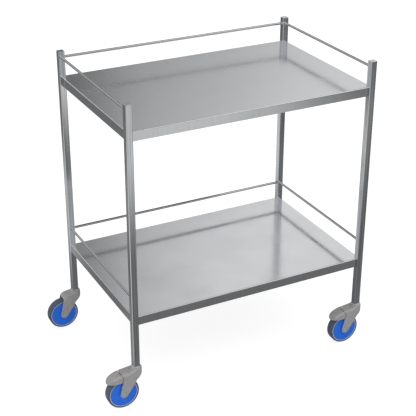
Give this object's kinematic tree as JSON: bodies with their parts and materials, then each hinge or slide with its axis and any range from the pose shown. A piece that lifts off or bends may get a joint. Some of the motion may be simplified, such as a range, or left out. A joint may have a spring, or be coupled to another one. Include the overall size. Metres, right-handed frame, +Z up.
{
  "type": "instrument trolley",
  "caption": "Stainless steel instrument trolley with two lipped shelves, low guard rails on three sides and swivel castors, the front ones with foot brakes.",
  "frame": {"origin": "on the floor under the middle of the whole outline, castors trailing towards -X", "axes": "+Z up, +X along the width towards the right-hand end, -Y out of the open front"},
  "size_m": [0.894, 0.541, 0.9515],
  "materials": {
    "post_steel": "satin brushed",
    "shelf_steel": "satin sheet",
    "rail_steel": "polished rod",
    "cap_steel": "satin",
    "insert_plastic": "moulded",
    "fork_plastic": "moulded, fine satin grain",
    "shoe_plastic": "moulded",
    "wheel_plastic": "moulded",
    "disc_plastic": "gloss",
    "tyre_rubber": "fine ribbed tread",
    "axle_steel": "grey coated",
    "zinc_steel": "zinc plated"
  },
  "bodies": {
    "frame": {"castor_insert_back_left": "insert_plastic", "castor_insert_back_right": "insert_plastic", "castor_insert_front_left": "insert_plastic", "castor_insert_front_right": "insert_plastic", "kingpin_back_left": "zinc_steel", "kingpin_back_right": "zinc_steel", "kingpin_front_left": "zinc_steel", "kingpin_front_right": "zinc_steel", "lower_rail_back": "rail_steel", "lower_rail_left": "rail_steel", "lower_rail_right": "rail_steel", "lower_shelf": "shelf_steel", "lower_stiffener": "shelf_steel", "post_back_left": "post_steel", "post_back_right": "post_steel", "post_cap_back_left": "cap_steel", "post_cap_back_right": "cap_steel", "post_cap_front_left": "cap_steel", "post_cap_front_right": "cap_steel", "post_front_left": "post_steel", "post_front_right": "post_steel", "upper_rail_back": "rail_steel", "upper_rail_left": "rail_steel", "upper_rail_right": "rail_steel", "upper_shelf": "shelf_steel", "upper_stiffener": "shelf_steel"},
    "pedal_front_left": {"brake_pedal_front_left": "fork_plastic"},
    "shoe_front_left": {"brake_shoe_front_left": "shoe_plastic"},
    "castor_front_left": {"fork_front_left": "fork_plastic", "swivel_bearing_front_left": "zinc_steel", "axle_front_left": "axle_steel", "pedal_pin_front_left": "zinc_steel"},
    "wheel_front_left": {"tyre_front_left": "tyre_rubber", "wheel_centre_front_left": "wheel_plastic", "wheel_discs_front_left": "disc_plastic", "wheel_bearings_front_left": "zinc_steel"},
    "pedal_front_right": {"brake_pedal_front_right": "fork_plastic"},
    "shoe_front_right": {"brake_shoe_front_right": "shoe_plastic"},
    "castor_front_right": {"fork_front_right": "fork_plastic", "swivel_bearing_front_right": "zinc_steel", "axle_front_right": "axle_steel", "pedal_pin_front_right": "zinc_steel"},
    "wheel_front_right": {"tyre_front_right": "tyre_rubber", "wheel_centre_front_right": "wheel_plastic", "wheel_discs_front_right": "disc_plastic", "wheel_bearings_front_right": "zinc_steel"},
    "castor_back_left": {"fork_back_left": "fork_plastic", "swivel_bearing_back_left": "zinc_steel", "axle_back_left": "axle_steel"},
    "wheel_back_left": {"tyre_back_left": "tyre_rubber", "wheel_centre_back_left": "wheel_plastic", "wheel_discs_back_left": "disc_plastic", "wheel_bearings_back_left": "zinc_steel"},
    "castor_back_right": {"fork_back_right": "fork_plastic", "swivel_bearing_back_right": "zinc_steel", "axle_back_right": "axle_steel"},
    "wheel_back_right": {"tyre_back_right": "tyre_rubber", "wheel_centre_back_right": "wheel_plastic", "wheel_discs_back_right": "disc_plastic", "wheel_bearings_back_right": "zinc_steel"}
  },
  "joints": [
    {"name": "swivel_front_left", "type": "hinge", "parent": "frame", "child": "castor_front_left", "pos_m": [-0.3505, -0.25, 0], "axis": [0, 0, 1], "continuous": true},
    {"name": "roll_front_left", "type": "hinge", "parent": "castor_front_left", "child": "wheel_front_left", "pos_m": [-0.397, -0.25, 0.05], "axis": [0, 1, 0], "continuous": true},
    {"name": "pedal_front_left", "type": "hinge", "parent": "castor_front_left", "child": "pedal_front_left", "pos_m": [-0.389, -0.25, 0.106], "axis": [0, -1, 0], "range_deg": [0, 8]},
    {"name": "shoe_front_left", "type": "slide", "parent": "castor_front_left", "child": "shoe_front_left", "axis": [0, 0, -1], "range_m": [0, 0.00182]},
    {"name": "swivel_front_right", "type": "hinge", "parent": "frame", "child": "castor_front_right", "pos_m": [0.4295, -0.25, 0], "axis": [0, 0, 1], "continuous": true},
    {"name": "roll_front_right", "type": "hinge", "parent": "castor_front_right", "child": "wheel_front_right", "pos_m": [0.383, -0.25, 0.05], "axis": [0, 1, 0], "continuous": true},
    {"name": "pedal_front_right", "type": "hinge", "parent": "castor_front_right", "child": "pedal_front_right", "pos_m": [0.391, -0.25, 0.106], "axis": [0, -1, 0], "range_deg": [0, 8]},
    {"name": "shoe_front_right", "type": "slide", "parent": "castor_front_right", "child": "shoe_front_right", "axis": [0, 0, -1], "range_m": [0, 0.00182]},
    {"name": "swivel_back_left", "type": "hinge", "parent": "frame", "child": "castor_back_left", "pos_m": [-0.3505, 0.25, 0], "axis": [0, 0, 1], "continuous": true},
    {"name": "roll_back_left", "type": "hinge", "parent": "castor_back_left", "child": "wheel_back_left", "pos_m": [-0.397, 0.25, 0.05], "axis": [0, 1, 0], "continuous": true},
    {"name": "swivel_back_right", "type": "hinge", "parent": "frame", "child": "castor_back_right", "pos_m": [0.4295, 0.25, 0], "axis": [0, 0, 1], "continuous": true},
    {"name": "roll_back_right", "type": "hinge", "parent": "castor_back_right", "child": "wheel_back_right", "pos_m": [0.383, 0.25, 0.05], "axis": [0, 1, 0], "continuous": true}
  ],
  "couplings": [
    {"joint": "shoe_front_left", "follows": "pedal_front_left", "m_per_rad": 0.013},
    {"joint": "shoe_front_right", "follows": "pedal_front_right", "m_per_rad": 0.013}
  ]
}
